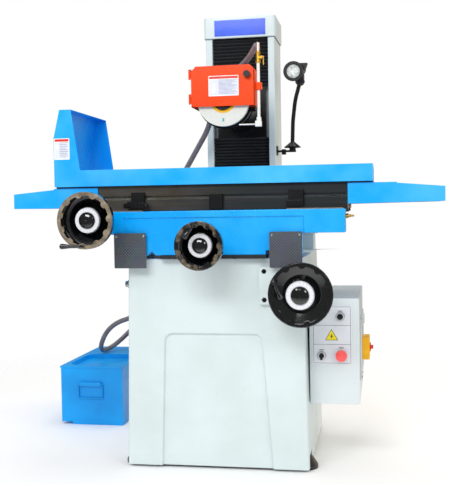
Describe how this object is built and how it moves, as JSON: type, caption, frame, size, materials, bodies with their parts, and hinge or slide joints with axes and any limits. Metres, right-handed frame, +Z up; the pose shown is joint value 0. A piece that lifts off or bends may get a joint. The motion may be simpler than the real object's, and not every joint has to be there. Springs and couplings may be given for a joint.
{
  "type": "manual surface grinder",
  "caption": "Manual surface grinder: box base, sliding saddle and table with splash tray, guarded wheel on a column, control cabinet, work lamp and coolant tank.",
  "frame": {"origin": "on the floor, under the middle of the column and of the grinding wheel's axis plane", "axes": "+X to the operator's right along the table, +Y to the rear, +Z up"},
  "size_m": [1.603, 1.3165, 1.746],
  "materials": {
    "grey_paint": "satin",
    "blue_paint": "satin",
    "orange_paint": "satin",
    "ground_steel": "ground",
    "dark_iron": "oiled",
    "black_plastic": "gloss",
    "rubber": "matt",
    "white_dial": "gloss",
    "black_paint": "gloss",
    "panel_film": "satin",
    "blue_plate": "satin",
    "red_plastic": "gloss",
    "yellow_plastic": "gloss",
    "grey_hose": "satin",
    "brass": "polished",
    "white_paint": "gloss",
    "abrasive": "grainy",
    "lens_glass": "clear",
    "flap_rubber": "patterned",
    "dark_grey_paint": "satin"
  },
  "bodies": {
    "machine_base": {"base_casting": "grey_paint", "way_rails": "ground_steel", "levelling_feet": "rubber", "lifting_boss": "ground_steel", "column_casting": "grey_paint", "column_cap": "grey_paint", "cap_plate": "blue_plate", "upper_bellows": "rubber", "lower_bellows": "rubber", "lift_bracket": "grey_paint", "bracket_screws": "dark_iron", "cabinet_shell": "grey_paint", "control_panel": "panel_film", "tank_shell": "blue_paint", "coolant_pump": "dark_grey_paint", "hose_flexing": "grey_hose", "hose_to_pump": "grey_hose", "lamp_bracket": "black_paint"},
    "start_button": {"start_button": "black_plastic"},
    "stop_button": {"stop_button": "red_plastic"},
    "selector": {"selector_knob": "black_plastic"},
    "cabinet_door": {"cabinet_door": "dark_grey_paint", "switch_body": "yellow_plastic"},
    "main_switch": {"switch_knob": "red_plastic"},
    "tank_handle": {"tank_handle": "blue_paint"},
    "lamp_arm": {"lamp_arm": "black_paint"},
    "lamp_head": {"lamp_head": "black_plastic", "lamp_lens": "lens_glass"},
    "saddle": {"saddle_casting": "blue_paint", "bearing_flanges": "dark_iron", "way_flaps": "flap_rubber", "oil_fitting": "dark_iron"},
    "table": {"table_casting": "dark_iron", "table_rack": "ground_steel", "splash_tray": "blue_paint", "end_guards": "blue_paint", "stop_dogs": "black_paint"},
    "long_wheel": {"long_handwheel": "black_plastic", "long_dial": "white_dial", "pinion_shaft": "ground_steel"},
    "long_grip": {"long_grip": "black_plastic"},
    "cross_wheel": {"cross_handwheel": "black_plastic", "cross_dial": "white_dial", "cross_screw": "ground_steel"},
    "cross_grip": {"cross_grip": "black_plastic"},
    "lift_wheel": {"lift_handwheel": "black_plastic", "lift_dial": "white_dial", "lift_shaft": "ground_steel"},
    "lift_grip": {"lift_grip": "black_plastic"},
    "wheelhead": {"wheelhead_casting": "dark_grey_paint", "wheel_guard": "orange_paint", "coolant_pipe": "white_paint", "coolant_valve": "brass", "hose_at_head": "grey_hose"},
    "spindle": {"spindle": "ground_steel", "grinding_wheel": "abrasive", "wheel_flanges": "black_paint"},
    "guard_cover": {"guard_cover": "orange_paint", "cover_knob": "black_plastic"},
    "valve_lever": {"valve_lever": "brass"}
  },
  "joints": [
    {"name": "saddle_slide", "type": "slide", "parent": "machine_base", "child": "saddle", "axis": [0, 1, 0], "range_m": [-0.055, 0.11], "deforming": ["way_flaps"]},
    {"name": "table_slide", "type": "slide", "parent": "saddle", "child": "table", "axis": [1, 0, 0], "range_m": [-0.24, 0.19]},
    {"name": "head_slide", "type": "slide", "parent": "machine_base", "child": "wheelhead", "axis": [0, 0, 1], "range_m": [-0.165, 0.1], "deforming": ["upper_bellows", "lower_bellows", "hose_flexing"]},
    {"name": "long_wheel_turn", "type": "hinge", "parent": "saddle", "child": "long_wheel", "pos_m": [-0.412, -0.442, 0.899], "axis": [0, 1, 0], "range_deg": [-687.6, 544.4]},
    {"name": "cross_wheel_turn", "type": "hinge", "parent": "saddle", "child": "cross_wheel", "pos_m": [-0.017, -0.442, 0.809], "axis": [0, 1, 0], "range_deg": [-3960, 7920]},
    {"name": "lift_wheel_turn", "type": "hinge", "parent": "machine_base", "child": "lift_wheel", "pos_m": [0.318, -0.444, 0.641], "axis": [0, 1, 0], "range_deg": [-18000, 29700]},
    {"name": "long_grip_fold", "type": "hinge", "parent": "long_wheel", "child": "long_grip", "pos_m": [-0.41886, -0.504, 0.81177], "axis": [0, 0, 1], "range_deg": [0, 90]},
    {"name": "cross_grip_fold", "type": "hinge", "parent": "cross_wheel", "child": "cross_grip", "pos_m": [-0.02702, -0.504, 0.8803], "axis": [-0.7771, 0, 0.6293], "range_deg": [0, 90]},
    {"name": "lift_grip_fold", "type": "hinge", "parent": "lift_wheel", "child": "lift_grip", "pos_m": [0.23147, -0.464, 0.68701], "axis": [-0.9205, 0, -0.3907], "range_deg": [0, 90]},
    {"name": "spindle_spin", "type": "hinge", "parent": "wheelhead", "child": "spindle", "pos_m": [0, -0.065, 1.344], "axis": [0, 1, 0], "continuous": true},
    {"name": "guard_cover_swing", "type": "hinge", "parent": "wheelhead", "child": "guard_cover", "pos_m": [-0.126, -0.086, 1.344], "axis": [0, 0, -1], "range_deg": [0, 110]},
    {"name": "valve_lever_turn", "type": "hinge", "parent": "wheelhead", "child": "valve_lever", "pos_m": [0.15, -0.07, 1.496], "axis": [1, 0, 0], "range_deg": [-90, 0]},
    {"name": "lamp_swivel", "type": "hinge", "parent": "machine_base", "child": "lamp_arm", "pos_m": [0.214, 0.39, 1.19], "axis": [0, 0, 1], "range_deg": [-50, 90]},
    {"name": "lamp_tilt", "type": "hinge", "parent": "lamp_arm", "child": "lamp_head", "pos_m": [0.25, 0.384, 1.466], "axis": [1, 0, 0], "range_deg": [-25, 35]},
    {"name": "cabinet_door_swing", "type": "hinge", "parent": "machine_base", "child": "cabinet_door", "pos_m": [0.51, 0.242, 0.407], "axis": [0, 0, 1], "range_deg": [0, 115]},
    {"name": "main_switch_turn", "type": "hinge", "parent": "cabinet_door", "child": "main_switch", "pos_m": [0.52, 0, 0.4], "axis": [1, 0, 0], "range_deg": [0, 90]},
    {"name": "start_button_press", "type": "slide", "parent": "machine_base", "child": "start_button", "axis": [0, 1, 0], "range_m": [0, 0.004], "stiffness_N_per_m": 400},
    {"name": "stop_button_press", "type": "slide", "parent": "machine_base", "child": "stop_button", "axis": [0, 1, 0], "range_m": [0, 0.005], "stiffness_N_per_m": 400},
    {"name": "selector_turn", "type": "hinge", "parent": "machine_base", "child": "selector", "pos_m": [0.371, -0.23, 0.403], "axis": [0, 1, 0], "range_deg": [-45, 45]},
    {"name": "tank_handle_fold", "type": "hinge", "parent": "machine_base", "child": "tank_handle", "pos_m": [-0.668, 0.259, 0.178], "axis": [-1, 0, 0], "range_deg": [0, 85]}
  ],
  "couplings": [
    {"joint": "long_wheel_turn", "follows": "table_slide", "rad_per_m": 50},
    {"joint": "cross_wheel_turn", "follows": "saddle_slide", "rad_per_m": 1256.6},
    {"joint": "lift_wheel_turn", "follows": "head_slide", "rad_per_m": -3141.6}
  ]
}
